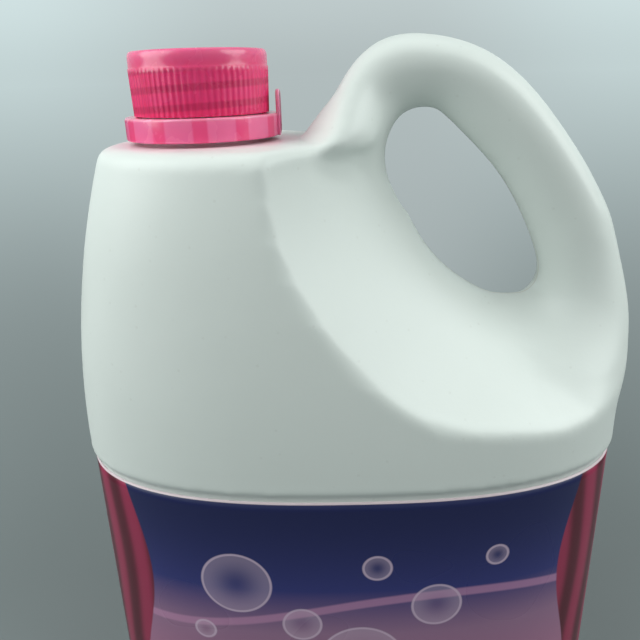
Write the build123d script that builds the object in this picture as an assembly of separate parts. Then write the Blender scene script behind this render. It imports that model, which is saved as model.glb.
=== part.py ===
"""Blow-moulded detergent jug with a pinched handle, a wrap label and a tamper-evident screw cap.

Millimetres. The jug stands on z = 0 with its middle on the Z axis. Its broad front faces -Y, the neck is
on the -X side and the handle on the +X side. The mould parts on the plane y = 0, so front and back match.
"""
import os
from math import copysign, cos, hypot, pi, radians, sin, sqrt

from build123d import *

# Body
BODY_HALF_WIDTH = 105.0
BODY_HALF_DEPTH = 56.5
BODY_ROUNDNESS = 2.55  # exponent of the plan oval: 2 is an ellipse, more is squarer
OVAL_POINTS = 24
WALL = 1.5
FOOT_TOP = 12.0
FOOT_EDGE_RADIUS = 8.0
PUSH_UP_MARGIN = 16.0
PUSH_UP_SLOPE = 5.0
PUSH_UP_HEIGHT = 3.5
PANEL_DEPTH = 1.6
SHOULDER_START = 127.5
SHOULDER_BEND_START = 130.5
SHOULDER_RADIUS = 320.0
HANDLE_SIDE_BEND_START = 150.0
HANDLE_SIDE_RADIUS = 190.0
SHOULDER_SECTIONS = 6
DECK_HEIGHT = 241.0
DECK_HALF_DEPTH = 48.5
DECK_EDGE_RADIUS = 6.0

# Finger hole, on the parting plane
HOLE_LEFT = 16.4
HOLE_RIGHT = 73.7
HOLE_TOP = 250.0
HOLE_BOTTOM = 180.3
HOLE_WAIST = (31.2, 205.4)
HOLE_TOE = (50.1, 186.4)
HOLE_HEEL_X = 61.0
PARTING_LAND = 1.2  # half the flat left where the two walls are pinched together

# Scoop round the finger hole, where it breaks out in front of the body
SCOOP_REACH = 58.0
SCOOP_LEFT = -34.2
SCOOP_LEAN = 0.14  # how much its left edge leans to the right as it goes down
SCOOP_WAIST = (-12.5, 187.0)
SCOOP_TOE = (27.1, 151.0)
SCOOP_BOTTOM = (71.4, 138.3)
SCOOP_SIDE_DROP = 40.0
SCOOP_CLEARANCE = 60.0

# Handle
HANDLE_TOP = 274.3
HANDLE_HALF_THICKNESS = 15.0
LEG_FOOT_X = -17.4  # where the leg's sloping outer face meets the deck
HANDLE_SQUARENESS = 0.85
HANDLE_POINTS = 14
HANDLE_TOLERANCE = 0.05

# Neck and closure, all about the neck's own upright axis
NECK_FROM_SIDE = 54.8
NECK_X = NECK_FROM_SIDE - BODY_HALF_WIDTH
NECK_RADIUS = 20.9
NECK_BORE_RADIUS = 18.7
NECK_RISE = 26.5
BEAD_RADIUS = 24.0
BEAD_HEIGHT = 1.5
BEAD_RISE = 5.5

BAND_RISE = 2.0
BAND_RADIUS = 27.0
BAND_HEIGHT = 6.0
BAND_WALL = 1.3
BAND_LEDGE = 1.0
BAND_EDGE_RADIUS = 0.8
LUG_COUNT = 12
LUG_WIDTH_DEG = 10.0
LUG_FIRST_DEG = -82.5
LUG_HEIGHT = 2.4
BRIDGE_COUNT = 12
BRIDGE_WIDTH_DEG = 2.5
TAB_WIDTH = 9.0
TAB_THICKNESS = 1.45
TAB_PROUD = 0.7
TAB_HEIGHT = 15.0

CAP_GAP = 1.4
CAP_RADIUS = 24.0
CAP_DRAFT = 0.45
CAP_WALL = 1.2
SKIRT_HEIGHT = 15.2
RIB_COUNT = 72
RIB_DEPTH = 0.4
RIB_LAND = 0.35  # share of a rib's pitch that is flat at its top, and at its root
CROWN_RADIUS = 23.75
CROWN_HEIGHT = 5.6
CROWN_EDGE_RADIUS = 2.0
CROWN_THICKNESS = 1.8
LINER_RADIUS = 21.9
CLEARANCE = 0.1
THREAD_CLEARANCE = 1.7

# Wrap label
LABEL_MARGIN_TOP = 3.1
LABEL_MARGIN_BOTTOM = 1.5
LABEL_GAP = 0.05
LABEL_FILM = 0.2


def signed_power(value, power):
    return copysign(abs(value) ** power, value)


def oval(height, left, right, half_depth):
    """Closed plan curve |x/a|^n + |y/b|^n = 1 between the given left and right ends."""
    middle = (left + right) / 2
    half_width = (right - left) / 2
    points = []
    for step in range(OVAL_POINTS):
        angle = 2 * pi * step / OVAL_POINTS
        x = middle + half_width * signed_power(cos(angle), 2 / BODY_ROUNDNESS)
        y = half_depth * signed_power(sin(angle), 2 / BODY_ROUNDNESS)
        points.append(Vector(x, y, height))
    return Wire([Edge.make_spline(points, periodic=True)])


def plan_oval(height, inset):
    half_width = BODY_HALF_WIDTH - inset
    return oval(height, -half_width, half_width, BODY_HALF_DEPTH - inset)


def prism(bottom, top, inset):
    return extrude(Face(plan_oval(bottom, inset)), amount=top - bottom, dir=(0, 0, 1))


def lean(radius, start, height):
    """How far an arc, upright at the start height, has leaned in at the given height."""
    rise = max(height - start, 0)
    return radius - sqrt(radius ** 2 - rise ** 2)


def shoulder_oval(height, inset):
    left = -BODY_HALF_WIDTH + lean(SHOULDER_RADIUS, SHOULDER_BEND_START, height) + inset
    right = BODY_HALF_WIDTH - lean(HANDLE_SIDE_RADIUS, HANDLE_SIDE_BEND_START, height) - inset
    share = (height - SHOULDER_START) / (DECK_HEIGHT - SHOULDER_START)
    half_depth = BODY_HALF_DEPTH + (DECK_HALF_DEPTH - BODY_HALF_DEPTH) * share ** 2 - inset
    return oval(height, left, right, half_depth)


def push_up(inset):
    """The raised middle of the base, which leaves a flat ring to stand on."""
    margin = PUSH_UP_MARGIN - inset
    top = PUSH_UP_HEIGHT + inset
    return Solid.make_loft([plan_oval(0, margin), plan_oval(top, margin + PUSH_UP_SLOPE)], ruled=True)


def jug_body(inset):
    """Foot, recessed label panel and shoulder, each smaller by the inset when they bound the hollow."""
    foot = prism(inset, FOOT_TOP - inset, inset)
    foot = fillet(foot.edges().sort_by(Axis.Z)[0], FOOT_EDGE_RADIUS - inset)
    start = SHOULDER_START + inset
    panel = prism(FOOT_TOP - inset, start, PANEL_DEPTH + inset)
    top = DECK_HEIGHT - inset
    heights = [start + (top - start) * step / SHOULDER_SECTIONS for step in range(SHOULDER_SECTIONS + 1)]
    shoulder = Solid.make_loft([shoulder_oval(height, inset) for height in heights])
    shoulder = fillet(shoulder.edges().sort_by(Axis.Z)[-1], DECK_EDGE_RADIUS - inset)
    return foot + panel + shoulder - push_up(inset)


def scoop_outline(depth, left, lean_right, waist, toe, bottom, side_drop):
    """Outline in the XZ plane at the given depth: down the left, round the bottom and out to the right."""
    top = HANDLE_TOP + SCOOP_CLEARANCE
    far = BODY_HALF_WIDTH + SCOOP_CLEARANCE
    start = Vector(left, depth, DECK_HEIGHT - DECK_EDGE_RADIUS)
    end = Vector(bottom[0], depth, bottom[1])
    right = Vector(far, depth, end.Z - side_drop)
    through = [start, Vector(waist[0], depth, waist[1]), Vector(toe[0], depth, toe[1]), end]
    top_right = Vector(far, depth, top)
    top_left = Vector(left, depth, top)
    return Wire([
        Edge.make_line(top_left, start),
        Edge.make_spline(through, tangents=[Vector(lean_right, 0, -1), right - end]),
        Edge.make_line(end, right),
        Edge.make_line(right, top_right),
        Edge.make_line(top_right, top_left),
    ])


def scoop(inset, side):
    """Ruled cut from the pinched edge of the finger hole to its wider outline in front of the body."""
    slant = inset * sqrt(2)
    hole = scoop_outline(
        side * PARTING_LAND, HOLE_LEFT - slant, 0,
        (HOLE_WAIST[0] - inset, HOLE_WAIST[1] - inset),
        (HOLE_TOE[0] - inset, HOLE_TOE[1] - inset),
        (HOLE_HEEL_X, HOLE_BOTTOM - slant), 0,
    )
    mouth = scoop_outline(
        side * SCOOP_REACH, SCOOP_LEFT - slant, SCOOP_LEAN,
        (SCOOP_WAIST[0] - inset, SCOOP_WAIST[1] - inset),
        (SCOOP_TOE[0] - inset, SCOOP_TOE[1] - inset),
        (SCOOP_BOTTOM[0], SCOOP_BOTTOM[1] - slant), SCOOP_SIDE_DROP,
    )
    slot = extrude(Face(hole), amount=2 * PARTING_LAND, dir=(0, -side, 0))
    return Solid.make_loft([hole, mouth], ruled=True) + slot


def handle_points(outer, inner, half_thickness, egg, inset):
    """Front half of an egg-shaped section, from the outer to the inner edge, thicker on its outer side."""
    width = hypot(outer[0] - inner[0], outer[1] - inner[1])
    across = ((outer[0] - inner[0]) / width, (outer[1] - inner[1]) / width)
    middle = ((outer[0] + inner[0]) / 2, (outer[1] + inner[1]) / 2)
    points = []
    for step in range(HANDLE_POINTS + 1):
        share = cos(pi * step / HANDLE_POINTS)
        along = (width / 2 - inset) * share
        fullness = (1 - share ** 2) ** (HANDLE_SQUARENESS / 2)
        y = -(half_thickness - inset) * fullness * (1 + egg * share)
        points.append(Vector(middle[0] + along * across[0], y, middle[1] + along * across[1]))
    return points


def handle(inset):
    """Hollow grip, from its flared foot on the deck, over the arch and down into the body's side."""
    deck = DECK_HEIGHT
    side = BODY_HALF_WIDTH
    grip = HANDLE_HALF_THICKNESS
    top = HANDLE_TOP
    stations = [
        ((LEG_FOOT_X - 3, deck - 8), (HOLE_LEFT - 1, deck - 13), grip + 4, 0.6),
        ((LEG_FOOT_X, deck), (HOLE_LEFT, deck - 4), grip + 12, 0.6),
        ((LEG_FOOT_X + 13, deck + 16.5), (HOLE_LEFT + 2.3, deck + 4.5), grip + 5, 0.42),
        ((LEG_FOOT_X + 25.5, top - 2), (HOLE_LEFT + 8, HOLE_TOP - 0.6), grip, 0.3),
        ((LEG_FOOT_X + 43, top), (HOLE_LEFT + 15.2, HOLE_TOP), grip, 0.28),
        ((side - 58.5, top - 5.1), (HOLE_RIGHT - 36, HOLE_TOP - 4.2), grip, 0.28),
        ((side - 43, top - 15.8), (HOLE_RIGHT - 27.3, HOLE_TOP - 12.5), grip, 0.28),
        ((side - 29, top - 31.3), (HOLE_RIGHT - 17.3, HOLE_TOP - 23.5), grip, 0.28),
        ((side - 17, top - 47.5), (HOLE_RIGHT - 8.5, HOLE_TOP - 37.3), grip, 0.28),
        ((side - 6.6, top - 65.5), (HOLE_RIGHT - 2.3, HOLE_TOP - 50.6), grip + 1, 0.32),
        ((side - 1.5, top - 85), (HOLE_RIGHT, HOLE_BOTTOM + 9), grip + 3.5, 0.36),
        ((side - 2, top - 102), (HOLE_RIGHT - 5, HOLE_BOTTOM - 4), grip + 10, 0.25),
        ((side - 5, top - 119), (HOLE_RIGHT - 9, HOLE_BOTTOM - 17), grip + 14, 0.1),
        ((side - 9, top - 137), (HOLE_RIGHT - 9, HOLE_BOTTOM - 33), grip + 8, 0),
    ]
    grid = [handle_points(*station, inset) for station in stations]
    front = Face.make_surface_from_array_of_points(grid, tol=HANDLE_TOLERANCE)
    back = front.mirror(Plane.XZ)
    ends = []
    for station in (0, -1):
        middle = grid[station][HANDLE_POINTS // 2]
        arc = front.edges().sort_by(lambda edge: (edge.position_at(0.5) - middle).length)[0]
        ends.append(Face(Wire([arc, arc.mirror(Plane.XZ)])))
    return Solid(Shell([front, back, *ends]))


def vessel(inset):
    """The jug's outside, or its hollow when inset by the wall."""
    body = jug_body(inset)
    for side in (-1, 1):
        body = body - scoop(inset, side)
    return body + handle(inset)


def turned(profile):
    """Solid of revolution about the neck's axis from (radius, height above the deck) points."""
    outline = [(NECK_X + radius, 0, DECK_HEIGHT + height) for radius, height in profile]
    neck_axis = Axis((NECK_X, 0, 0), (0, 0, 1))
    return revolve(Face(Wire.make_polygon([Vector(*p) for p in outline], close=True)), axis=neck_axis)


def sector(profile, middle_deg, width_deg):
    """Slice of such a solid, centred on the given angle from +X."""
    start = radians(middle_deg - width_deg / 2)
    outline = []
    for radius, height in profile:
        outline.append(Vector(NECK_X + radius * cos(start), radius * sin(start), DECK_HEIGHT + height))
    neck_axis = Axis((NECK_X, 0, 0), (0, 0, 1))
    return revolve(Face(Wire.make_polygon(outline, close=True)), axis=neck_axis, revolution_arc=width_deg)


def bottle():
    bead_slope = BEAD_RADIUS - NECK_RADIUS
    neck = turned([
        (0, -WALL),
        (NECK_RADIUS, -WALL),
        (NECK_RADIUS, BEAD_RISE - BEAD_HEIGHT),
        (BEAD_RADIUS, BEAD_RISE - BEAD_HEIGHT),
        (BEAD_RADIUS, BEAD_RISE),
        (NECK_RADIUS, BEAD_RISE + bead_slope / 3),
        (NECK_RADIUS, NECK_RISE),
        (0, NECK_RISE),
    ])
    bore = turned([
        (0, -2 * WALL),
        (NECK_BORE_RADIUS, -2 * WALL),
        (NECK_BORE_RADIUS, NECK_RISE),
        (0, NECK_RISE),
    ])
    return vessel(0) + neck - vessel(WALL) - bore


def label():
    bottom = FOOT_TOP + LABEL_MARGIN_BOTTOM
    top = SHOULDER_START - LABEL_MARGIN_TOP
    inner = PANEL_DEPTH - LABEL_GAP
    return prism(bottom, top, inner - LABEL_FILM) - prism(bottom, top, inner)


def tear_band():
    """Tamper ring: outer wall, inward ledge, lugs under the neck's bead, thin bridges and a pull tab."""
    base = BAND_RISE
    top = BAND_RISE + BAND_HEIGHT
    inside = BAND_RADIUS - BAND_WALL
    ledge_radius = NECK_RADIUS + THREAD_CLEARANCE
    ring = turned([
        (inside, base),
        (BAND_RADIUS, base),
        (BAND_RADIUS, top - BAND_EDGE_RADIUS),
        (BAND_RADIUS - BAND_EDGE_RADIUS, top),
        (ledge_radius, top),
        (ledge_radius, top - BAND_LEDGE),
        (inside, top - BAND_LEDGE),
    ])
    lug_top = BEAD_RISE - BEAD_HEIGHT - CLEARANCE
    lug_radius = NECK_RADIUS + THREAD_CLEARANCE / 2
    lug_profile = [
        (lug_radius, lug_top - LUG_HEIGHT / 2),
        (inside + BAND_WALL / 2, lug_top - LUG_HEIGHT),
        (inside + BAND_WALL / 2, lug_top),
        (lug_radius, lug_top),
    ]
    for step in range(LUG_COUNT):
        ring = ring + sector(lug_profile, LUG_FIRST_DEG + 360 * step / LUG_COUNT, LUG_WIDTH_DEG)
    bridge_outer = CAP_RADIUS - CAP_DRAFT - RIB_DEPTH
    bridge_profile = [
        (bridge_outer - CAP_WALL / 2, top - BAND_LEDGE / 2),
        (bridge_outer, top - BAND_LEDGE / 2),
        (bridge_outer, top + CAP_GAP - 3 * CLEARANCE),
        (bridge_outer - CAP_WALL / 2, top + CAP_GAP - 3 * CLEARANCE),
    ]
    for step in range(BRIDGE_COUNT):
        middle = LUG_FIRST_DEG + 360 * (step + 0.5) / BRIDGE_COUNT
        ring = ring + sector(bridge_profile, middle, BRIDGE_WIDTH_DEG)
    tab_outer = NECK_X + BAND_RADIUS + TAB_PROUD
    outline = Plane.YZ.offset(tab_outer - TAB_THICKNESS) * Pos(0, DECK_HEIGHT + base + TAB_HEIGHT / 2)
    tab = extrude(outline * RectangleRounded(TAB_WIDTH, TAB_HEIGHT, TAB_WIDTH / 3), amount=TAB_THICKNESS)
    return ring + tab


def rib_outline(radius, height):
    """Ring of sloping-sided ribs as one closed polygon."""
    corners = ((0, 0), (RIB_LAND, 0), (0.5, RIB_DEPTH), (0.5 + RIB_LAND, RIB_DEPTH))
    points = []
    for step in range(RIB_COUNT):
        for share, depth in corners:
            angle = 2 * pi * (step + share) / RIB_COUNT
            reach = radius - depth
            points.append(Vector(NECK_X + reach * cos(angle), reach * sin(angle), DECK_HEIGHT + height))
    return Wire.make_polygon(points, close=True)


def cap():
    skirt_bottom = BAND_RISE + BAND_HEIGHT + CAP_GAP
    skirt_top = skirt_bottom + SKIRT_HEIGHT
    top = skirt_top + CROWN_HEIGHT
    skirt = Solid.make_loft([
        rib_outline(CAP_RADIUS - CAP_DRAFT, skirt_bottom),
        rib_outline(CAP_RADIUS, skirt_top),
    ], ruled=True)
    crown = turned([(0, skirt_top), (CROWN_RADIUS, skirt_top), (CROWN_RADIUS, top), (0, top)])
    crown = fillet(crown.edges().sort_by(Axis.Z)[-1], CROWN_EDGE_RADIUS)
    inside = NECK_RADIUS + THREAD_CLEARANCE
    hollow = turned([
        (0, skirt_bottom),
        (inside, skirt_bottom),
        (inside, top - CROWN_THICKNESS),
        (0, top - CROWN_THICKNESS),
    ])
    return skirt + crown - hollow


def seal_liner():
    top = BAND_RISE + BAND_HEIGHT + CAP_GAP + SKIRT_HEIGHT + CROWN_HEIGHT - CROWN_THICKNESS
    return turned([
        (0, NECK_RISE + CLEARANCE),
        (LINER_RADIUS, NECK_RISE + CLEARANCE),
        (LINER_RADIUS, top - CLEARANCE),
        (0, top - CLEARANCE),
    ])


os.makedirs("parts", exist_ok=True)
for piece in (bottle, label, tear_band, cap, seal_liner):
    export_step(piece(), f"parts/{piece.__name__}.step")
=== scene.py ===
"""Detergent jug in a plain studio: a soft white moulding, a wrap label and a translucent screw cap.

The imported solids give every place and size. Lengths are metres, and MM turns millimetres into them.
"""
from math import cos, pi, radians, sin

import bpy
import numpy as np
from mathutils import Matrix, Vector


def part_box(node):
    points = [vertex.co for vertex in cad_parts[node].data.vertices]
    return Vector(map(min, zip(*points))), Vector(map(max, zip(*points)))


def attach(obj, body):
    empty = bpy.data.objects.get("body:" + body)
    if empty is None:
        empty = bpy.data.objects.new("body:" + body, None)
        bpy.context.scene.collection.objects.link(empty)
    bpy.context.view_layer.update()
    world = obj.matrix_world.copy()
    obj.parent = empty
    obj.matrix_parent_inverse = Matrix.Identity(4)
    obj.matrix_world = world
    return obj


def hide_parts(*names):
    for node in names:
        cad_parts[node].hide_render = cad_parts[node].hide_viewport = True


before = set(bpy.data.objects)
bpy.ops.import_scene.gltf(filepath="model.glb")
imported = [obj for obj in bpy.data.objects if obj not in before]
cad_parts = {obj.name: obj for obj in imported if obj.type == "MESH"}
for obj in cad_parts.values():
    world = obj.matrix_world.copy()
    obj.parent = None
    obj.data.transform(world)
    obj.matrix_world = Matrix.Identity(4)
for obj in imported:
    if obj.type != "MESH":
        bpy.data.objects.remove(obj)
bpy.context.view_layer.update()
MM = 0.001
HAIR = 0.01 * MM  # thinner than any step of a profile

# Places read from the frame
LINER_GAP = 0.1 * MM
BAND_LIFT = 2 * MM
PANEL_RIM = 10 * MM
cap_low, cap_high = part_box("cap")
band_low, band_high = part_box("tear_band")
label_low, label_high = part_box("label")
liner_low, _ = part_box("seal_liner")
NECK_X = (cap_low.x + cap_high.x) / 2
CAP_RADIUS = (cap_high.x - cap_low.x) / 2
BAND_RADIUS = band_high.y
NECK_RIM = liner_low.z - LINER_GAP
DECK = band_low.z - BAND_LIFT
PANEL_TOP = label_high.z + PANEL_RIM

# Jug skin, where a point's bend is its distance to its neighbours' mean, in cells
SKIN_CELL = 1.5 * MM
MELT_STEP = 0.6  # share of the way to the neighbours' mean that a point goes in one round
SHARP_FROM = 0.05
SHARP_RANGE = 0.08
RIDGE_SPREAD = 2
RIDGE_ROUNDS = 10
RIM_SPREAD = 3
RIM_ROUNDS = 30
RIM_HALF_WIDTH = 8 * MM
RIM_BLEND = 2 * MM
FINGER_HOLE = Vector((46 * MM, 0, 215 * MM))
FINGER_HOLE_REACH = 55 * MM
VALLEY_SPREAD = 8
VALLEY_ROUNDS = 90
PANEL_BLEND = 6 * MM
DECK_VALLEY = 0.4  # share of the filling that is left on the deck
DECK_EDGE = 5 * MM
DECK_BLEND = 4 * MM
CREASE_FROM = 0.09
CREASE_RANGE = 0.06
CREASE_START_X = 70 * MM
CREASE_HELD = 0.5
FAIR_SPOTS = (  # middle on the front and reach, in millimetres
    ((98, 18, 178), 37),  # where the handle's lower end joins the body
    ((19, 6, 238), 18),  # where its leg joins the finger hole's rim
    ((42, 0, 199), 23),  # the lower edge of the finger hole
)
FAIR_ROUNDS = 700
NUDGES = (  # middle on the front, reach and push, in millimetres
    ((104, 14, 178), 36, (4, 0, 0)),  # the handle's foot
    ((0, 0, 266), 26, (2.8, 0, -1.9)),  # the shoulder of its leg
    ((-9, 0, 245), 18, (-2.6, 0, 0)),  # the toe of its leg
    ((78, 24, 161), 26, (0, 2.5, 0)),  # the dome below its foot
)
HANDLE_BACK = ((97, 8, 215), 22)  # middle on the front and reach, in millimetres
HANDLE_BACK_ROUNDS = 30
SETTLE_ROUNDS = 12
SETTLE_IN = 0.5
SETTLE_OUT = 0.52

# Neck, with its bead's heights above the deck
NECK_RADIUS = 20.9 * MM
NECK_BORE = 18.7 * MM
NECK_SIDES = 240
NECK_ROW = 0.35 * MM
NECK_WALL_START = 9 * MM
NECK_WALL_MARGIN = 1 * MM
FLANGE_PROUD = 2.4 * MM
BEAD_PROUD = 3.1 * MM
BEAD_BOTTOM = 4 * MM
BEAD_TOP = 5.5 * MM
BEAD_END = 6.6 * MM
NECK_BEND = 0.6 * MM
RIM_BEND = 0.5 * MM
PLUG_DEPTH = 4 * MM
PLUG_MARGIN = 1 * MM
PLUG_SIDES = 96
DECK_HOLE_MARGIN = 0.6 * MM

# Screw thread, the same helix on the neck and inside the cap
PITCH = 6 * MM
THREAD_WIDTH = 2.2 * MM
THREAD_DEPTH = 1.1 * MM
THREAD_TURNS = 1.6
THREAD_FADE = 0.08  # turns in which the ridge rises at each end
THREAD_FULLNESS = 1.5
THREAD_LIFT = 2 * MM
NECK_THREAD_START = cap_low.z + THREAD_LIFT

# Cap
SKIRT_HEIGHT = 15.2 * MM
SKIRT_DRAFT = 0.45 * MM
SKIRT_ROWS = 10
LIP_SHARE = 0.08  # share of the skirt's height below its first row
LIP_BEND = 0.3 * MM
CROWN_STEP = 0.25 * MM
CROWN_THICKNESS = 1.8 * MM
CROWN_ROLL = 2.6 * MM
CROWN_BEND = 2.2 * MM
CROWN_POLE = 1 * MM
CAP_INSIDE = 22.6 * MM
CAP_WALL_MARGIN = 1 * MM
CAP_ROW = 0.4 * MM
RIB_COUNT = 72
RIB_DEPTH = 0.26 * MM
RIB_FLATNESS = 0.9
SAMPLES_PER_RIB = 8

# Tear band
BAND_GAP = 0.25 * MM
BAND_TOP = cap_low.z - BAND_GAP
BAND_WALL = 1.3 * MM
BAND_BEND = 0.8 * MM
BAND_SIDES = 360
LEDGE_THICKNESS = 1 * MM
LUG_COUNT = 12
LUG_FIRST_DEG = -82.5
LUG_WIDTH_DEG = 10
LUG_EDGE_DEG = 0.5
LUG_REACH = 4 * MM
LUG_SLOPE = 1.5 * MM
LUG_HEIGHT = 2 * MM
LUG_TOP_BEND = 0.2 * MM
LUG_ROWS = 14
LUG_FOOT = 0.3 * MM
TAB_WIDTH = 9 * MM
TAB_THICKNESS = 1.45 * MM
TAB_SQUARENESS = 0.35
POST_RADIUS = 0.35 * MM
POST_SQUARENESS = 0.5
POST_GAP = 0.1 * MM
POST_ROOT = 0.5 * MM

# Label
ROUNDNESS = 2.55
FILM_PROUD = 0.2 * MM
FILM_TURN_IN = 0.6 * MM
FILM_COLUMNS = 480
FILM_ROWS = 28
OVAL_SAMPLES = 4001


def smooth_step(value):
    """0 below 0, 1 above 1 and 3 t^2 - 2 t^3 between."""
    share = np.clip(value, 0, 1)
    return share * share * (3 - 2 * share)


def grid_faces(rows, columns, loop_rows=False):
    """Quads of a grid whose columns close on themselves, and whose rows do so too when asked."""
    strips = rows if loop_rows else rows - 1
    row, column = np.meshgrid(np.arange(strips), np.arange(columns), indexing="ij")
    here = row * columns + column
    beside = row * columns + (column + 1) % columns
    above = (here + columns) % (rows * columns)
    above_beside = (beside + columns) % (rows * columns)
    return np.stack([here, beside, above_beside, above], axis=-1).reshape(-1, 4)


def fan_faces(ring_start, columns, centre, facing_up):
    """Triangles between a ring of points and a centre point, which close a pole."""
    here = ring_start + np.arange(columns)
    beside = ring_start + (np.arange(columns) + 1) % columns
    middle = np.full(columns, centre)
    corners = [here, beside, middle] if facing_up else [beside, here, middle]
    return np.stack(corners, axis=-1)


def mesh_of(name, points, *face_groups):
    """Smooth-shaded mesh from an array of points and arrays of faces, each with its own corner count."""
    corners = np.concatenate([faces.ravel() for faces in face_groups])
    counts = np.concatenate([np.full(len(faces), faces.shape[1]) for faces in face_groups])
    mesh = bpy.data.meshes.new(name)
    mesh.vertices.add(len(points))
    mesh.vertices.foreach_set("co", np.ascontiguousarray(points, np.float32).ravel())
    mesh.loops.add(len(corners))
    mesh.loops.foreach_set("vertex_index", corners.astype(np.int32))
    mesh.polygons.add(len(counts))
    mesh.polygons.foreach_set("loop_start", (np.cumsum(counts) - counts).astype(np.int32))
    mesh.polygons.foreach_set("use_smooth", np.ones(len(counts), bool))
    mesh.update(calc_edges=True)
    mesh.validate()
    return mesh


def place(name, mesh, material, body, stands_for=None):
    """Shows a mesh as a piece that rides on a body and takes the place of a solid where one is named."""
    mesh.materials.clear()
    mesh.materials.append(material)
    piece = bpy.data.objects.new(name, mesh)
    bpy.context.scene.collection.objects.link(piece)
    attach(piece, body)
    if stands_for:
        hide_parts(stands_for)


def softened(corners, radius, steps):
    """Open profile whose inner corners become parabolic bends that start a radius away from each corner."""
    corners = np.asarray(corners, float)
    share = np.linspace(0, 1, steps)[:, None]
    runs = [corners[:1]]
    for before, corner, after in zip(corners[:-2], corners[1:-1], corners[2:]):
        to_before = before - corner
        to_after = after - corner
        start = corner + to_before * min(0.5, radius / np.linalg.norm(to_before))
        end = corner + to_after * min(0.5, radius / np.linalg.norm(to_after))
        runs.append((1 - share) ** 2 * start + 2 * share * (1 - share) * corner + share ** 2 * end)
    runs.append(corners[-1:])
    return np.concatenate(runs)


def around(count):
    """Even angles of a full turn."""
    return np.arange(count) * (2 * pi / count)


def on_neck(radius, angle, height):
    """Points at a radius and an angle about the neck's axis, from +X towards +Y, at a height."""
    x = NECK_X + radius * np.cos(angle)
    return np.stack([x, radius * np.sin(angle), np.broadcast_to(height, x.shape)], axis=-1)


def thread_ridge(angle, height, start):
    """0 to 1: a rounded ridge on the right-hand helix z = start + pitch * turns, faded in at both ends."""
    turn = angle / (2 * pi)
    lead = (height - start) / PITCH - turn
    travelled = np.round(lead) + turn
    across = np.abs(lead - np.round(lead)) * PITCH / (THREAD_WIDTH / 2)
    ends = smooth_step(travelled / THREAD_FADE) * smooth_step((THREAD_TURNS - travelled) / THREAD_FADE)
    return smooth_step(THREAD_FULLNESS * (1 - across)) * ends


def solid_arrays(node):
    """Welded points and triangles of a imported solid."""
    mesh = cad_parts[node].data
    mesh.calc_loop_triangles()
    points = np.empty(len(mesh.vertices) * 3, np.float32)
    mesh.vertices.foreach_get("co", points)
    corners = np.empty(len(mesh.loop_triangles) * 3, np.int32)
    mesh.loop_triangles.foreach_get("vertices", corners)
    welded, index = np.unique(np.round(points.reshape(-1, 3), 6), axis=0, return_inverse=True)
    return welded, index.ravel()[corners].reshape(-1, 3)


def without_neck():
    """Jug's triangles less those of its neck, and a closed drum in the hole that the neck leaves in the deck,
    so that only the jug's outside is skinned."""
    points, faces = solid_arrays("bottle")
    from_neck = np.hypot(points[:, 0] - NECK_X, points[:, 1])
    near = (from_neck < NECK_RADIUS + BEAD_PROUD + PLUG_MARGIN)[faces].all(axis=1)
    raised = (points[:, 2] > DECK + HAIR)[faces].any(axis=1)
    faces = faces[~(near & raised)]
    angle = around(PLUG_SIDES)
    count = len(angle)
    radius = NECK_RADIUS + PLUG_MARGIN
    heights = np.array([DECK - PLUG_DEPTH, DECK])
    drum = np.concatenate([
        on_neck(radius, angle, heights[0]),
        on_neck(radius, angle, heights[1]),
        on_neck(np.zeros(2), np.zeros(2), heights),
    ])
    start = len(points)
    wall = grid_faces(2, count) + start
    triangles = [
        faces,
        wall[:, :3],
        wall[:, [0, 2, 3]],
        fan_faces(start, count, start + 2 * count, False),
        fan_faces(start + count, count, start + 2 * count + 1, True),
    ]
    return np.concatenate([points, drum]), np.concatenate(triangles)


def laid_on_jug():
    """Even mesh of quads over the jug's outside, with its points on the solid."""
    holder = bpy.data.objects.new("jug_coarse", mesh_of("jug_coarse", *without_neck()))
    bpy.context.scene.collection.objects.link(holder)
    remesh = holder.modifiers.new("even", "REMESH")
    remesh.mode = "VOXEL"
    remesh.voxel_size = SKIN_CELL
    lay_on = holder.modifiers.new("lay_on", "SHRINKWRAP")
    lay_on.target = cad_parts["bottle"]
    bpy.context.view_layer.update()
    even = bpy.data.meshes.new_from_object(holder.evaluated_get(bpy.context.evaluated_depsgraph_get()))
    bpy.data.objects.remove(holder)
    return even


def read_out(items, name, kind, width):
    """One attribute of all a mesh's items as an array with a row for each item."""
    values = np.empty(len(items) * width, kind)
    items.foreach_get(name, values)
    return values.reshape(-1, width)


def neighbour_mean(values, edges, count):
    """Mean of the values at the far ends of each point's edges."""
    total = np.empty_like(values)
    for axis in range(values.shape[1]):
        column = values[:, axis]
        total[:, axis] = np.bincount(edges[:, 0], column[edges[:, 1]], len(values))
        total[:, axis] += np.bincount(edges[:, 1], column[edges[:, 0]], len(values))
    return total / count


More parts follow.
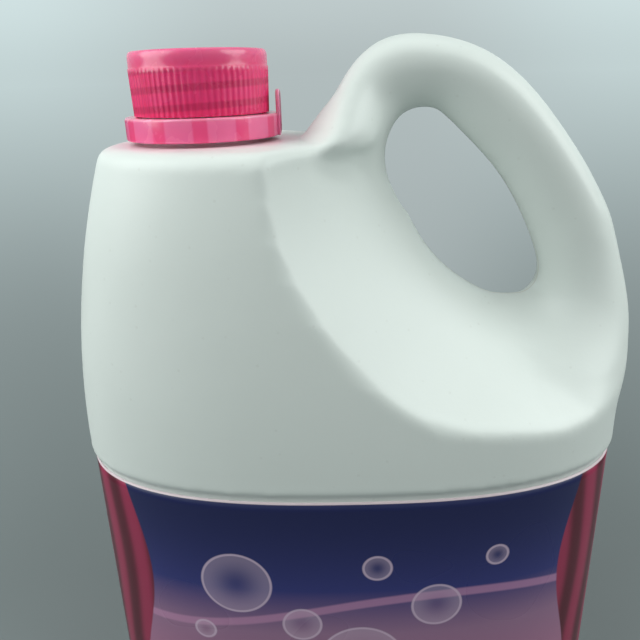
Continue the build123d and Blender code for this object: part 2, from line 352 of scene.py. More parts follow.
def faired(points, edges, count, inside):
    """Points with those inside moved to where the sum of all squared steps from a point to its neighbours'
    mean is least. With L the matrix of these steps and h the held points' share of them, the places x solve
    LᵀL x = -Lᵀ h, by conjugate gradients."""
    beside = neighbour_mean(inside[:, None].astype(float), edges, count)[:, 0] > 0
    near = np.flatnonzero(inside | beside)
    loose = np.flatnonzero(inside)
    row = np.full(len(points), -1)
    row[near] = np.arange(len(near))
    column = np.full(len(points), -1)
    column[loose] = np.arange(len(loose))
    links = np.concatenate([edges, edges[:, ::-1]])
    links = links[(row[links[:, 0]] >= 0) & (column[links[:, 1]] >= 0)]
    weight = 1 / count[links[:, 0], 0]
    ends = row[links[:, 0]]
    starts = column[links[:, 1]]
    own = row[loose]

    def steps(values):
        sums = [np.bincount(ends, weight * each[starts], len(near)) for each in values.T]
        result = np.stack(sums, axis=1)
        result[own] -= values
        return result

    def steps_back(values):
        sums = [np.bincount(starts, weight * each[ends], len(loose)) for each in values.T]
        return np.stack(sums, axis=1) - values[own]

    held = points * ~inside[:, None]
    held_share = (neighbour_mean(held, edges, count) - held)[near]
    moved = points[loose]
    rest = -steps_back(held_share + steps(moved))
    way = rest.copy()
    for _ in range(FAIR_ROUNDS):
        turned = steps_back(steps(way))
        length = (rest ** 2).sum() / (way * turned).sum()
        moved += length * way
        next_rest = rest - length * turned
        way = next_rest + (next_rest ** 2).sum() / (rest ** 2).sum() * way
        rest = next_rest
    result = points.copy()
    result[loose] = moved
    return result


def jug_skin():
    """Outside of the jug as a blown wall has it. Valleys fill up as their points move outwards to the mean of
    their neighbours, round after round. Sharp ridges and the finger hole's rim melt as theirs move both ways.
    Some spots are drawn smooth between their edges, but for the scoop's crease. Some are nudged, and the
    handle's back melts a little. Last, gentle steps in and out smooth the whole without shrinking it."""
    even = laid_on_jug()
    points = read_out(even.vertices, "co", np.float32, 3).astype(float)
    normals = read_out(even.vertices, "normal", np.float32, 3)
    edges = read_out(even.edges, "vertices", np.int32, 2)
    faces = read_out(even.loops, "vertex_index", np.int32, 1).reshape(-1, 4)
    count = np.maximum(np.bincount(edges.ravel(), minlength=len(points)), 1)[:, None]

    def to_mean():
        return neighbour_mean(points, edges, count) - points

    def outwards():
        return (to_mean() * normals).sum(axis=1, keepdims=True)

    def spread_out(mask, steps):
        for _ in range(steps):
            mask = np.maximum(mask, neighbour_mean(mask, edges, count))
        return mask

    bend = outwards() / SKIN_CELL
    x, y, z = np.split(points.copy(), 3, axis=1)
    to_side = np.sign(np.concatenate([np.ones_like(y), y, np.ones_like(y)], axis=1))
    on_one_side = points * to_side

    def nearness(middle, reach):
        """1 in the middle of a spot, which the front and the back have alike, and 0 from its reach on."""
        distance = np.linalg.norm(on_one_side - np.array(middle) * MM, axis=1, keepdims=True)
        return smooth_step(1 - distance / (reach * MM))

    above_panel = smooth_step((z - PANEL_TOP) / PANEL_BLEND)
    on_deck = smooth_step((z - DECK + DECK_EDGE) / DECK_BLEND)
    in_hole = np.linalg.norm(points - FINGER_HOLE, axis=1, keepdims=True) < FINGER_HOLE_REACH
    on_rim = in_hole * smooth_step((RIM_HALF_WIDTH - np.abs(y)) / RIM_BLEND)
    ridge = smooth_step((-bend - SHARP_FROM) / SHARP_RANGE)
    valley = smooth_step((bend - SHARP_FROM) / SHARP_RANGE)
    filling = spread_out(valley, VALLEY_SPREAD) * above_panel * (1 + (DECK_VALLEY - 1) * on_deck)
    crease = spread_out(smooth_step((-bend - CREASE_FROM) / CREASE_RANGE), RIDGE_SPREAD) * (1 - on_rim)
    crease *= x > CREASE_START_X
    free = (crease < CREASE_HELD) & (above_panel == 1)

    def melt(mask, rounds):
        for _ in range(rounds):
            points[:] += MELT_STEP * mask * to_mean()

    for _ in range(VALLEY_ROUNDS):
        points += MELT_STEP * filling * np.maximum(outwards(), 0) * normals
    melt(spread_out(ridge, RIDGE_SPREAD) * above_panel, RIDGE_ROUNDS)
    melt(spread_out(ridge * on_rim, RIM_SPREAD), RIM_ROUNDS)
    for middle, reach in FAIR_SPOTS:
        inside = (nearness(middle, reach) > 0) & free
        points[:] = faired(points, edges, count, inside[:, 0])
    for middle, reach, push in NUDGES:
        points += nearness(middle, reach) * np.array(push) * MM * to_side
    melt(nearness(*HANDLE_BACK), HANDLE_BACK_ROUNDS)
    for _ in range(SETTLE_ROUNDS):
        points += SETTLE_IN * to_mean()
        points -= SETTLE_OUT * to_mean()

    centre = points[faces].mean(axis=1)
    from_neck = np.hypot(centre[:, 0] - NECK_X, centre[:, 1])
    faces = faces[(from_neck > NECK_RADIUS + DECK_HOLE_MARGIN) | (centre[:, 2] < DECK - PLUG_DEPTH)]
    used, index = np.unique(faces, return_inverse=True)
    return mesh_of("jug_skin", points[used], index.reshape(-1, 4))


def neck_finish():
    """Profile turned about the neck's axis: foot flange, locking bead, threaded wall, rim and bore."""
    wall_heights = np.arange(DECK + NECK_WALL_START, NECK_RIM - NECK_WALL_MARGIN, NECK_ROW)
    bead = NECK_RADIUS + BEAD_PROUD
    below = softened([
        (NECK_RADIUS + FLANGE_PROUD, DECK - 0.2 * MM),
        (NECK_RADIUS, DECK + 1 * MM),
        (NECK_RADIUS, DECK + BEAD_BOTTOM),
        (bead, DECK + BEAD_BOTTOM),
        (bead, DECK + BEAD_TOP),
        (NECK_RADIUS, DECK + BEAD_END),
        (NECK_RADIUS, DECK + NECK_WALL_START - 0.4 * MM),
    ], NECK_BEND, 4)
    wall = np.stack([np.full(len(wall_heights), NECK_RADIUS), wall_heights], axis=-1)
    rim = softened([
        (NECK_RADIUS, NECK_RIM - NECK_WALL_MARGIN + 0.1 * MM),
        (NECK_RADIUS, NECK_RIM),
        (NECK_BORE, NECK_RIM),
        (NECK_BORE, DECK - PLUG_DEPTH),
    ], RIM_BEND, 5)
    profile = np.concatenate([below, wall, rim])
    angle = around(NECK_SIDES)[None, :]
    radius = profile[:, :1]
    height = profile[:, 1:]
    outside = radius > NECK_RADIUS - HAIR
    radius = radius + outside * THREAD_DEPTH * thread_ridge(angle, height, NECK_THREAD_START)
    points = on_neck(radius, np.broadcast_to(angle, radius.shape), height)
    return mesh_of("neck_finish", points.reshape(-1, 3), grid_faces(len(profile), angle.size))


def screw_cap():
    """Profile turned about the neck's axis, from under the crown, down the threaded inside, round the lip, up
    the ribbed skirt and over the crown. Ribs take a flattened cosine of the angle off the skirt's radius."""
    bottom = cap_low.z
    top = cap_high.z
    skirt_top = bottom + SKIRT_HEIGHT
    ceiling = top - CROWN_THICKNESS
    wall_heights = np.arange(ceiling - CAP_WALL_MARGIN, bottom + CAP_WALL_MARGIN, -CAP_ROW)
    inside = np.stack([np.full(len(wall_heights), CAP_INSIDE), wall_heights], axis=-1)
    skirt = CAP_RADIUS - SKIRT_DRAFT
    crown = CAP_RADIUS - CROWN_STEP
    lip = softened([
        (CAP_INSIDE, bottom + CAP_WALL_MARGIN - 0.1 * MM),
        (CAP_INSIDE, bottom),
        (skirt, bottom),
        (skirt + 0.03 * MM, bottom + 1 * MM),
    ], LIP_BEND, 4)
    side_share = np.linspace(LIP_SHARE, 1, SKIRT_ROWS)[:, None]
    side = np.array([skirt, bottom]) + side_share * np.array([SKIRT_DRAFT, skirt_top - bottom])
    over = softened([
        (CAP_RADIUS - 0.02 * MM, skirt_top + 0.05 * MM),
        (crown, skirt_top + 0.3 * MM),
        (crown, top - 0.2 * MM),
        (crown - CROWN_ROLL, top),
        (CROWN_POLE, top),
    ], CROWN_BEND, 8)
    under = np.array([
        (CROWN_POLE, ceiling),
        (CAP_INSIDE - 1 * MM, ceiling),
        (CAP_INSIDE, ceiling - 0.6 * MM),
    ])
    profile = np.concatenate([under, inside, lip, side, over])
    angle = around(RIB_COUNT * SAMPLES_PER_RIB)[None, :]
    radius = profile[:, :1]
    height = profile[:, 1:]
    is_inside = (np.arange(len(profile)) < len(under) + len(inside))[:, None]
    groove = smooth_step(0.5 + RIB_FLATNESS * np.cos(RIB_COUNT * angle))
    ribbed = ~is_inside & (radius > CAP_INSIDE + 0.5 * MM) & (height < skirt_top - HAIR)
    ridge = thread_ridge(angle, height, NECK_THREAD_START + PITCH / 2) * (radius > CAP_INSIDE - HAIR)
    radius = radius - ribbed * RIB_DEPTH * groove - is_inside * THREAD_DEPTH * ridge
    walls = on_neck(radius, np.broadcast_to(angle, radius.shape), height).reshape(-1, 3)
    poles = on_neck(np.zeros(2), np.zeros(2), np.array([ceiling, top]))
    columns = angle.size
    below = fan_faces(0, columns, len(walls), False)
    above = fan_faces(len(walls) - columns, columns, len(walls) + 1, True)
    points = np.concatenate([walls, poles])
    return mesh_of("screw_cap", points, grid_faces(len(profile), columns), below, above)


def pillow(centre, half_sizes, squareness, rows, columns):
    """Rounded block: half sizes times signed powers of the sines and cosines of two angles."""
    def power(value):
        return np.sign(value) * np.abs(value) ** squareness
    tilt = np.linspace(-pi / 2, pi / 2, rows + 2)[1:-1, None]
    turn = around(columns)[None, :]
    shape = np.stack([
        power(np.cos(tilt)) * power(np.cos(turn)),
        power(np.cos(tilt)) * power(np.sin(turn)),
        power(np.sin(tilt)) * np.ones_like(turn),
    ], axis=-1).reshape(-1, 3)
    shape = np.concatenate([shape, [(0, 0, -1), (0, 0, 1)]])
    ends = np.concatenate([
        fan_faces(0, columns, rows * columns, False),
        fan_faces((rows - 1) * columns, columns, rows * columns + 1, True),
    ])
    return np.asarray(centre) + np.asarray(half_sizes) * shape, grid_faces(rows, columns), ends


def tamper_band():
    """Closed profile turned about the neck's axis, with lugs where the inner wall comes in at even angles, a
    pull tab as a rounded block and small bridge posts between the ledge and the cap."""
    base = band_low.z
    inside = BAND_RADIUS - BAND_WALL
    ledge = CAP_INSIDE
    under_ledge = BAND_TOP - LEDGE_THICKNESS
    lug_heights = np.linspace(base + LUG_FOOT, under_ledge, LUG_ROWS)
    outer = softened([
        (inside, base),
        (BAND_RADIUS, base),
        (BAND_RADIUS, BAND_TOP),
        (ledge, BAND_TOP),
        (ledge, under_ledge),
        (inside, under_ledge),
    ], BAND_BEND, 6)
    inner = np.stack([np.full(len(lug_heights), inside), lug_heights[::-1]], axis=-1)
    profile = np.concatenate([outer, inner])
    angle = around(BAND_SIDES)[None, :]
    radius = profile[:, :1]
    height = profile[:, 1:]
    lug_step = 360 / LUG_COUNT
    from_lug = np.abs((np.degrees(angle) - LUG_FIRST_DEG + lug_step / 2) % lug_step - lug_step / 2)
    on_lug = smooth_step(LUG_WIDTH_DEG / 2 - from_lug + LUG_EDGE_DEG)
    lug_rise = smooth_step((height - base) / LUG_SLOPE)
    lug_rise = lug_rise * smooth_step((base + LUG_HEIGHT - height) / LUG_TOP_BEND)
    is_inner = (np.arange(len(profile)) >= len(outer))[:, None]
    radius = radius - is_inner * LUG_REACH * on_lug * lug_rise
    ring = on_neck(radius, np.broadcast_to(angle, radius.shape), height).reshape(-1, 3)
    points = [ring]
    quads = [grid_faces(len(profile), angle.size, loop_rows=True)]
    ends = []

    tab_low = Vector((band_high.x - TAB_THICKNESS, -TAB_WIDTH / 2, base))
    tab_high = Vector((band_high.x, TAB_WIDTH / 2, band_high.z))
    blocks = [pillow((tab_low + tab_high) / 2, (tab_high - tab_low) / 2, TAB_SQUARENESS, 24, 48)]
    post_angle = radians(LUG_FIRST_DEG) + pi / LUG_COUNT + around(LUG_COUNT)
    post_top = cap_low.z - POST_GAP
    post_low = BAND_TOP - POST_ROOT
    post_half = (POST_RADIUS, POST_RADIUS, (post_top - post_low) / 2)
    for centre in on_neck(np.full(LUG_COUNT, ledge + POST_RADIUS), post_angle, (post_top + post_low) / 2):
        blocks.append(pillow(centre, post_half, POST_SQUARENESS, 10, 12))
    start = len(ring)
    for block_points, block_quads, block_ends in blocks:
        points.append(block_points)
        quads.append(block_quads + start)
        ends.append(block_ends + start)
        start += len(block_points)
    return mesh_of("tamper_band", np.concatenate(points), np.concatenate(quads), np.concatenate(ends))


def wrap_film():
    """Oval |x/a|^n + |y/b|^n = 1 at even arc length, carried up the panel, with its cut edges turned in. The
    UV map holds metres: the distance round from the middle of the front, and the height."""
    half_width = label_high.x + FILM_PROUD
    half_depth = label_high.y + FILM_PROUD
    fine = np.linspace(-pi / 2, 3 * pi / 2, OVAL_SAMPLES) - pi
    x = half_width * np.sign(np.cos(fine)) * np.abs(np.cos(fine)) ** (2 / ROUNDNESS)
    y = half_depth * np.sign(np.sin(fine)) * np.abs(np.sin(fine)) ** (2 / ROUNDNESS)
    length = np.concatenate([[0], np.cumsum(np.hypot(np.diff(x), np.diff(y)))])
    columns = FILM_COLUMNS
    round_it = np.arange(columns) / columns * length[-1]
    outline = np.stack([np.interp(round_it, length, x), np.interp(round_it, length, y)], axis=-1)
    inward = -outline / np.linalg.norm(outline, axis=1, keepdims=True)
    height = np.linspace(label_low.z, label_high.z, FILM_ROWS)
    rows = np.concatenate([[label_low.z], height, [label_high.z]])
    inset = np.zeros(len(rows))
    inset[[0, -1]] = FILM_TURN_IN
    flat = outline[None] + inset[:, None, None] * inward[None]
    points = np.concatenate([flat, np.broadcast_to(rows[:, None, None], (len(rows), columns, 1))], axis=-1)
    faces = grid_faces(len(rows), columns)
    mesh = mesh_of("wrap_film", points.reshape(-1, 3), faces)
    corner_column = faces % columns
    last = (corner_column.max(axis=1) == columns - 1) & (corner_column.min(axis=1) == 0)
    corner_column = np.where(last[:, None] & (corner_column == 0), columns, corner_column)
    wrap = np.stack([(corner_column / columns - 0.5) * length[-1], rows[faces // columns]], axis=-1)
    mesh.uv_layers.new(name="wrap").data.foreach_set("uv", wrap.astype(np.float32).ravel())
    return mesh


def add(tree, kind, inputs=None, **settings):
    """New shader node with its settings and inputs, each a value or another node's output."""
    node = tree.nodes.new(kind)
    for name, value in settings.items():
        setattr(node, name, value)
    for name, value in (inputs or {}).items():
        if isinstance(value, bpy.types.NodeSocket):
            tree.links.new(value, node.inputs[name])
        else:
            node.inputs[name].default_value = value
    return node


def calc(tree, operation, first, second=0.0, third=0.0):
    return add(tree, "ShaderNodeMath", {0: first, 1: second, 2: third}, operation=operation).outputs[0]


def ramp(tree, value, low, high, start=0.0, end=1.0):
    """Smooth change from start at low to end at high."""
    inputs = {"Value": value, "From Min": low, "From Max": high, "To Min": start, "To Max": end}
    return add(tree, "ShaderNodeMapRange", inputs, interpolation_type="SMOOTHSTEP").outputs[0]


def mix(tree, share, first, second):
    node = add(tree, "ShaderNodeMix", {0: share, 6: first, 7: second}, data_type="RGBA")
    return node.outputs[2]


def xyz(tree, vector):
    return add(tree, "ShaderNodeSeparateXYZ", {0: vector}).outputs


def object_place(tree):
    return add(tree, "ShaderNodeTexCoord").outputs["Object"]


def bumped(tree, height, strength, distance):
    inputs = {"Strength": strength, "Distance": distance, "Height": height}
    return add(tree, "ShaderNodeBump", inputs).outputs[0]


def moulded_grain():
    """Group: Height is the fine pebble that a mould leaves, and Cloud a slow drift of tone."""
    group = bpy.data.node_groups.new("moulded_grain", "ShaderNodeTree")
    for name in ("Pebble Scale", "Cloud Scale"):
        group.interface.new_socket(name, in_out="INPUT", socket_type="NodeSocketFloat")
    for name in ("Height", "Cloud"):
        group.interface.new_socket(name, in_out="OUTPUT", socket_type="NodeSocketFloat")
    given = group.nodes.new("NodeGroupInput")
    place_in = object_place(group)
    pebble = add(group, "ShaderNodeTexNoise", {
        "Vector": place_in, "Scale": given.outputs["Pebble Scale"], "Detail": 2.0, "Roughness": 0.6})
    cloud = add(group, "ShaderNodeTexNoise", {
        "Vector": place_in, "Scale": given.outputs["Cloud Scale"], "Detail": 3.0, "Roughness": 0.5})
    add(group, "NodeGroupOutput", {"Height": pebble.outputs[0], "Cloud": cloud.outputs[0]})
    return group


GRAIN = moulded_grain()


def grain(tree, pebble_scale, cloud_scale):
    inputs = {"Pebble Scale": pebble_scale, "Cloud Scale": cloud_scale}
    return add(tree, "ShaderNodeGroup", inputs, node_tree=GRAIN).outputs


def material(name):
    made = bpy.data.materials.new(name)
    made.use_nodes = True
    made.node_tree.nodes.clear()
    return made, made.node_tree


def finish_surface(tree, inputs):
    surface = add(tree, "ShaderNodeBsdfPrincipled", inputs)
    add(tree, "ShaderNodeOutputMaterial", {"Surface": surface.outputs[0]})


# White polyethylene
WHITE_DEEP = (0.74, 0.79, 0.76, 1)
WHITE_PALE = (0.79, 0.84, 0.81, 1)
SPECK_TONE = (0.45, 0.45, 0.4, 1)
SEAM_TONE = (0.55, 0.5, 0.4, 1)
SEAM_SHARE = 0.45
SEAM_HEIGHT = 0.8
# painted light: pink that stands for light shining through the tear band onto the deck
PAINTED_PINK_GLOW = (0.95, 0.66, 0.74, 1)


def white_polyethylene():
    """Satin off-white with a fine pebble, faint specks, the mould's thin parting line on y = 0 and painted
    pink light on the deck round the tear band, which stands for light that passes through the band."""
    made, tree = material("white_polyethylene")
    skin = grain(tree, pebble_scale=750.0, cloud_scale=22.0)
    place_in = object_place(tree)
    x, y, z = xyz(tree, place_in)
    tone = mix(tree, skin["Cloud"], WHITE_DEEP, WHITE_PALE)
    specks = add(tree, "ShaderNodeTexVoronoi", {"Vector": place_in, "Scale": 160.0}).outputs["Distance"]
    tone = mix(tree, ramp(tree, specks, low=0.04, high=0.12, start=0.12, end=0.0), tone, SPECK_TONE)
    from_seam = calc(tree, "ABSOLUTE", y)
    seam = ramp(tree, from_seam, low=0.15 * MM, high=0.55 * MM, start=1.0, end=0.0)
    seam = calc(tree, "MULTIPLY", seam, ramp(tree, z, low=PANEL_TOP, high=PANEL_TOP + 4 * MM))
    tone = mix(tree, calc(tree, "MULTIPLY", seam, SEAM_SHARE), tone, SEAM_TONE)
    across = calc(tree, "POWER", calc(tree, "SUBTRACT", x, NECK_X), 2.0)
    from_neck = calc(tree, "SQRT", calc(tree, "ADD", across, calc(tree, "POWER", y, 2.0)))
    # Painted light: the deck near the band turns pink, as if lit through the translucent band
    from_band = calc(tree, "SUBTRACT", from_neck, BAND_RADIUS)
    painted_glow_near_band = ramp(tree, from_band, low=-2 * MM, high=12 * MM, start=0.75, end=0.0)
    on_deck = ramp(tree, z, low=DECK - 5 * MM, high=DECK - 1 * MM)
    tone = mix(tree, calc(tree, "MULTIPLY", painted_glow_near_band, on_deck), tone, PAINTED_PINK_GLOW)
    height = calc(tree, "MULTIPLY_ADD", seam, SEAM_HEIGHT, skin["Height"])
    finish_surface(tree, {
        "Base Color": tone,
        "Roughness": ramp(tree, skin["Cloud"], low=0.3, high=0.7, start=0.36, end=0.46),
        "IOR": 1.5,
        "Normal": bumped(tree, height, strength=0.35, distance=0.06 * MM),
    })
    return made


# Pink plastic
PINK_DEEP = (0.82, 0.035, 0.16, 1)
PINK_PALE = (0.9, 0.055, 0.22, 1)
# painted shade of the thread behind the cap's wall, and painted light on its single-walled crown
PAINTED_THREAD_SHADE = (0.45, 0.015, 0.08, 1)
PAINTED_CROWN_LIGHT = (1.0, 0.22, 0.44, 1)
# painted light through the tear band's wall, between its lugs and on its ledge
PAINTED_WINDOW_LIGHT = (0.95, 0.24, 0.46, 1)
PAINTED_WINDOW_SHARE = 0.45
PAINTED_RING_SHARE = 0.15
PAINTED_LEDGE_LIGHT = (0.92, 0.42, 0.55, 1)


def neck_place(tree):
    """Angle in turns and height about the neck's axis."""
    x, y, z = xyz(tree, object_place(tree))
    angle = calc(tree, "ARCTAN2", y, calc(tree, "SUBTRACT", x, NECK_X))
    return calc(tree, "DIVIDE", angle, 2 * pi), z


def pink_plastic(name, painted_light):
    """Glossy translucent pink, with light and shade painted into its colour by the function given."""
    made, tree = material(name)
    skin = grain(tree, pebble_scale=420.0, cloud_scale=90.0)
    turn, height = neck_place(tree)
    tone = mix(tree, skin["Cloud"], PINK_DEEP, PINK_PALE)
    finish_surface(tree, {
        "Base Color": painted_light(tree, tone, turn, height),
        "Roughness": ramp(tree, skin["Cloud"], low=0.3, high=0.7, start=0.22, end=0.3),
        "Subsurface Weight": 0.35,
        "Subsurface Radius": (2.0, 0.5, 0.8),
        "Subsurface Scale": 1.5 * MM,
        "Coat Weight": 0.3,
        "Coat Roughness": 0.1,
        "Normal": bumped(tree, skin["Height"], strength=0.12, distance=0.05 * MM),
    })
    return made


def from_middle(tree, steps):
    """Distance from the middle of each step, 0 to 0.5."""
    return calc(tree, "ABSOLUTE", calc(tree, "SUBTRACT", calc(tree, "FRACT", steps), 0.5))


def cap_painted_light(tree, tone, turn, height):
    """Painted shade: darker helical bands of the thread behind the skirt. Painted light: a paler crown."""
    lead = calc(tree, "SUBTRACT", calc(tree, "DIVIDE", height, PITCH), turn)
    band = ramp(tree, from_middle(tree, lead), low=0.1, high=0.26, start=0.55, end=0.0)
    skirt_top = cap_low.z + SKIRT_HEIGHT
    on_skirt = ramp(tree, height, low=skirt_top - 1.5 * MM, high=skirt_top, start=1.0, end=0.0)
    tone = mix(tree, calc(tree, "MULTIPLY", band, on_skirt), tone, PAINTED_THREAD_SHADE)
    pale = ramp(tree, height, low=cap_high.z - 5.5 * MM, high=cap_high.z - 0.5 * MM, start=0.0, end=0.4)
    return mix(tree, pale, tone, PAINTED_CROWN_LIGHT)


def band_painted_light(tree, tone, turn, height):
    """Painted shade of the lugs behind the ring; painted light in the windows between them and on the ledge.
    """
    first = 0.5 - LUG_FIRST_DEG / 360 * LUG_COUNT
    across = from_middle(tree, calc(tree, "MULTIPLY_ADD", turn, float(LUG_COUNT), first))
    half_lug = LUG_WIDTH_DEG / 720 * LUG_COUNT
    window = ramp(tree, across, low=half_lug - 0.03, high=half_lug + 0.03)
    tone = mix(tree, calc(tree, "MULTIPLY_ADD", window, PAINTED_WINDOW_SHARE, PAINTED_RING_SHARE), tone, PAINTED_WINDOW_LIGHT)
    ledge = ramp(tree, height, low=BAND_TOP - 1.2 * MM, high=BAND_TOP - 0.3 * MM, start=0.0, end=0.4)
    return mix(tree, ledge, tone, PAINTED_LEDGE_LIGHT)


# Printed film, with lengths round it from the front's middle and heights above the floor
FIELD_STOPS = (  # share of the label's height and colour
    (0.0, (0.5, 0.2, 0.32, 1)),
    (0.45, (0.33, 0.18, 0.3, 1)),
    (0.72, (0.035, 0.04, 0.19, 1)),
    (1.0, (0.014, 0.018, 0.085, 1)),
)
HEM = 84 * MM
HEM_SWAY = 5 * MM
SWAY_PER_METRE = 55.0
FOLDS_PER_METRE = 420.0
FOLD_SWAY = 0.8
SATIN_DEEP = (0.1, 0.008, 0.022, 1)
SATIN_BRIGHT = (0.34, 0.03, 0.085, 1)
CREST = 74 * MM
CREST_RISE = 9 * MM
CREST_PER_METRE = 24.0
CREST_START = 0.6
WAVE_TONE = (0.62, 0.3, 0.5, 1)
BUBBLE_TONE = (0.72, 0.55, 0.7, 1)
BUBBLES = (  # distance round, height and radius, in millimetres
    (-44, 88, 13), (-20, 70, 7), (-30, 48, 10), (8, 96, 5), (2, 52, 16),
    (30, 78, 9), (44, 50, 6), (52, 98, 4), (-58, 64, 4), (20, 34, 8),
)
FILM_EDGE_TONE = (0.75, 0.62, 0.66, 1)


def printed_film():
    """Glossy film: a night-blue field that warms to violet and rose, satin crimson sides, a pale wave and
    rising bubbles, with a thin pale edge."""
    made, tree = material("printed_film")
    wrap = add(tree, "ShaderNodeUVMap", uv_map="wrap").outputs[0]
    u, v, _ = xyz(tree, wrap)
    field = add(tree, "ShaderNodeValToRGB", {0: ramp(tree, v, low=label_low.z, high=label_high.z)})
    stops = field.color_ramp.elements
    stops.remove(stops[1])
    stops[0].color = FIELD_STOPS[0][1]
    for place_at, colour in FIELD_STOPS[1:]:
        stops.new(place_at).color = colour
    tone = field.outputs[0]

    sway = calc(tree, "SINE", calc(tree, "MULTIPLY", v, SWAY_PER_METRE))
    hem = calc(tree, "MULTIPLY_ADD", sway, HEM_SWAY, HEM)
    past_hem = calc(tree, "SUBTRACT", calc(tree, "ABSOLUTE", u), hem)
    side = ramp(tree, past_hem, low=-0.4 * MM, high=0.4 * MM)
    swing = calc(tree, "MULTIPLY", sway, FOLD_SWAY)
    fold = calc(tree, "SINE", calc(tree, "MULTIPLY_ADD", u, FOLDS_PER_METRE, swing))
    satin = mix(tree, ramp(tree, fold, low=-1.0, high=1.0), SATIN_DEEP, SATIN_BRIGHT)
    tone = mix(tree, side, tone, satin)

    curve = calc(tree, "SINE", calc(tree, "MULTIPLY_ADD", u, CREST_PER_METRE, CREST_START))
    crest = calc(tree, "MULTIPLY_ADD", curve, CREST_RISE, CREST)
    from_crest = calc(tree, "ABSOLUTE", calc(tree, "SUBTRACT", v, crest))
    wave = ramp(tree, from_crest, low=1.2 * MM, high=2.4 * MM, start=0.6, end=0.0)
    on_front = calc(tree, "SUBTRACT", 1.0, side)
    tone = mix(tree, calc(tree, "MULTIPLY", wave, on_front), tone, WAVE_TONE)

    for round_it, height, radius in BUBBLES:
        centre = (round_it * MM, height * MM, 0)
        gap = add(tree, "ShaderNodeVectorMath", {0: wrap, 1: centre}, operation="DISTANCE").outputs["Value"]
        from_rim = calc(tree, "ABSOLUTE", calc(tree, "SUBTRACT", gap, radius * MM))
        rim = ramp(tree, from_rim, low=0.2 * MM, high=0.8 * MM, start=0.75, end=0.0)
        body = ramp(tree, gap, low=0.0, high=radius * MM, start=0.04, end=0.32)
        body = calc(tree, "MULTIPLY", body, calc(tree, "LESS_THAN", gap, radius * MM))
        tone = mix(tree, calc(tree, "MAXIMUM", rim, body), tone, BUBBLE_TONE)

    edge = ramp(tree, v, low=label_high.z - 0.9 * MM, high=label_high.z - 0.5 * MM)
    tone = mix(tree, edge, tone, FILM_EDGE_TONE)
    ripple = add(tree, "ShaderNodeTexNoise", {"Vector": object_place(tree), "Scale": 18.0, "Detail": 1.0})
    finish_surface(tree, {
        "Base Color": tone,
        "Roughness": ramp(tree, ripple.outputs[0], low=0.3, high=0.7, start=0.26, end=0.36),
        "Specular IOR Level": 0.35,
        "Normal": bumped(tree, ripple.outputs[0], strength=0.25, distance=0.5 * MM),
    })
    return made


# Foam of the sealing disc
FOAM_DEEP = (0.78, 0.78, 0.76, 1)
FOAM_PALE = (0.86, 0.86, 0.84, 1)


def liner_foam():
    """White foam with open cells."""
    made, tree = material("liner_foam")
    skin = grain(tree, pebble_scale=1400.0, cloud_scale=60.0)
    finish_surface(tree, {
        "Base Color": mix(tree, skin["Cloud"], FOAM_DEEP, FOAM_PALE),
        "Roughness": 0.8,
        "Normal": bumped(tree, skin["Height"], strength=0.4, distance=0.1 * MM),
    })
    return made


# Studio: a light tent with a soft box on each side and one above
TENT_LIGHT = (0.95, 1.0, 0.98)
TENT_STRENGTH = 0.29
BACKDROP_MIDDLE = (0.44, 0.505, 0.51, 1)
BACKDROP_SIDE = (0.54, 0.645, 0.65, 1)
BACKDROP_RISE = 1.18
FLOOR_TONE = (0.235, 0.27, 0.275, 1)
FLOOR_RADIUS = 80.0
FLOOR_SIDES = 96
FLOOR_FADE_FROM = 0.43
FLOOR_FADE_OFFSET = 0.24
FADE_POWER_BEHIND = 0.3
FADE_POWER_GAIN = 1.3
JUG_MIDDLE = Vector((0, 0, 0.16))
SOFT_BOXES = (  # name, place, diameter and watts
    ("left_box", (-0.42, -0.165, 0.45), 0.5, 2.15),
    ("right_box", (0.5, -0.16, 0.5), 0.5, 2.3),
    ("overhead", (0, 0.05, 0.85), 0.6, 0.6),
)


def backdrop(tree, aside):
    """Pale wall of the tent, brighter towards the lamps: aside is the share of a look that goes sideways."""
    share = ramp(tree, calc(tree, "ABSOLUTE", aside), low=0.1, high=0.43)
    return share, mix(tree, share, BACKDROP_MIDDLE, BACKDROP_SIDE)


def studio_world():
    """Soft even light, with the pale backdrop for what the camera, mirrors and glass see."""
    world = bpy.data.worlds.new("studio")
    bpy.context.scene.world = world
    world.use_nodes = True
    tree = world.node_tree
    tree.nodes.clear()
    light = add(tree, "ShaderNodeBackground", {"Color": (*TENT_LIGHT, 1), "Strength": TENT_STRENGTH})
    x, _, z = xyz(tree, add(tree, "ShaderNodeTexCoord").outputs["Generated"])
    _, tone = backdrop(tree, x)
    brighter = ramp(tree, z, low=0.0, high=0.12, start=1.0, end=BACKDROP_RISE)
    seen = add(tree, "ShaderNodeBackground", {"Color": tone, "Strength": brighter})
    path = add(tree, "ShaderNodeLightPath").outputs
    looked_at = calc(tree, "MAXIMUM", path["Is Camera Ray"], path["Is Glossy Ray"])
    looked_at = calc(tree, "MAXIMUM", looked_at, path["Is Transmission Ray"])
    both = add(tree, "ShaderNodeMixShader", {0: looked_at, 1: light.outputs[0], 2: seen.outputs[0]})
    add(tree, "ShaderNodeOutputWorld", {"Surface": both.outputs[0]})


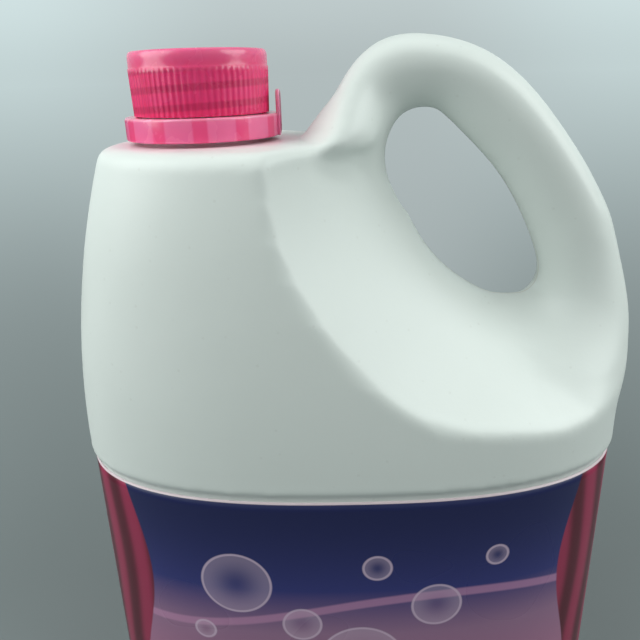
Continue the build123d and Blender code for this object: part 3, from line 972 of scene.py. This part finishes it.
def studio_floor():
    """Pale disc under the jug. Its share of backdrop is (1 - start / distance) ^ n, with n least straight
    behind the jug and most at the sides, so it melts into the wall without a horizon."""
    made, tree = material("studio_floor")
    place_in = object_place(tree)
    x, _, _ = xyz(tree, place_in)
    away = add(tree, "ShaderNodeVectorMath", {0: place_in}, operation="LENGTH").outputs["Value"]
    away = calc(tree, "ADD", away, FLOOR_FADE_OFFSET)
    aside, tone = backdrop(tree, calc(tree, "DIVIDE", x, away))
    apart = calc(tree, "SUBTRACT", 1.0, calc(tree, "DIVIDE", FLOOR_FADE_FROM, away))
    power = calc(tree, "MULTIPLY_ADD", aside, FADE_POWER_GAIN, FADE_POWER_BEHIND)
    fade = calc(tree, "POWER", calc(tree, "MAXIMUM", apart, 0.0), power)
    looked_at = add(tree, "ShaderNodeLightPath").outputs["Is Camera Ray"]
    near = add(tree, "ShaderNodeBsdfDiffuse", {"Color": FLOOR_TONE})
    far = add(tree, "ShaderNodeEmission", {"Color": tone})
    share = calc(tree, "MULTIPLY", fade, looked_at)
    both = add(tree, "ShaderNodeMixShader", {0: share, 1: near.outputs[0], 2: far.outputs[0]})
    add(tree, "ShaderNodeOutputMaterial", {"Surface": both.outputs[0]})
    angle = around(FLOOR_SIDES)
    ring = FLOOR_RADIUS * np.stack([np.cos(angle), np.sin(angle), np.zeros(FLOOR_SIDES)], axis=-1)
    points = np.concatenate([ring, [(0, 0, 0)]])
    mesh = mesh_of("studio_floor", points, fan_faces(0, FLOOR_SIDES, FLOOR_SIDES, True))
    mesh.materials.append(made)
    floor = bpy.data.objects.new("studio_floor", mesh)
    bpy.context.scene.collection.objects.link(floor)


def soft_box(name, place_at, size, power):
    """Round lamp that faces the middle of the jug."""
    lamp = bpy.data.lights.new(name, "AREA")
    lamp.shape = "DISK"
    lamp.size = size
    lamp.energy = power
    lamp.color = TENT_LIGHT
    holder = bpy.data.objects.new(name, lamp)
    holder.location = place_at
    holder.rotation_euler = (JUG_MIDDLE - Vector(place_at)).to_track_quat("-Z", "Y").to_euler()
    bpy.context.scene.collection.objects.link(holder)


# Camera, from the photograph's perspective
CAMERA_PLACE = (-6.7 * MM, -238.4 * MM, 261.6 * MM)
CAMERA_PITCH = radians(20.83)
CAMERA_ROLL = radians(1.772)
CAMERA_YAW = radians(1.0)
FOCAL_SHARE = 640.2 / 640  # focal length over the picture's width
SENSOR_WIDTH = 36
CLIP_START = 0.01


def photo_camera():
    """Pinhole that looks down by the pitch, turned by the yaw about Z and rolled about its line of sight."""
    right = Vector((cos(CAMERA_YAW), sin(CAMERA_YAW), 0))
    level = Vector((-sin(CAMERA_YAW), cos(CAMERA_YAW), 0))
    ahead = cos(CAMERA_PITCH) * level - sin(CAMERA_PITCH) * Vector((0, 0, 1))
    up = sin(CAMERA_PITCH) * level + cos(CAMERA_PITCH) * Vector((0, 0, 1))
    side = cos(CAMERA_ROLL) * right - sin(CAMERA_ROLL) * up
    top = sin(CAMERA_ROLL) * right + cos(CAMERA_ROLL) * up
    lens = bpy.data.cameras.new("photo_camera")
    lens.sensor_fit = "HORIZONTAL"
    lens.sensor_width = SENSOR_WIDTH
    lens.lens = SENSOR_WIDTH * FOCAL_SHARE
    lens.clip_start = CLIP_START
    holder = bpy.data.objects.new("photo_camera", lens)
    axes = Matrix((side, top, -ahead)).transposed().to_4x4()
    holder.matrix_world = Matrix.Translation(CAMERA_PLACE) @ axes
    bpy.context.scene.collection.objects.link(holder)
    bpy.context.scene.camera = holder


jug_white = white_polyethylene()
place("jug_skin", jug_skin(), jug_white, "jug", "bottle")
place("neck_finish", neck_finish(), jug_white, "jug")
place("wrap_film", wrap_film(), printed_film(), "jug", "label")
place("tamper_band", tamper_band(), pink_plastic("band_pink", band_painted_light), "jug", "tear_band")
place("screw_cap", screw_cap(), pink_plastic("cap_pink", cap_painted_light), "screw_cap", "cap")
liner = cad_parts["seal_liner"]
liner.data.materials.clear()
liner.data.materials.append(liner_foam())

bpy.context.scene.view_settings.view_transform = "Standard"
studio_world()
studio_floor()
for soft_light in SOFT_BOXES:
    soft_box(*soft_light)
photo_camera()
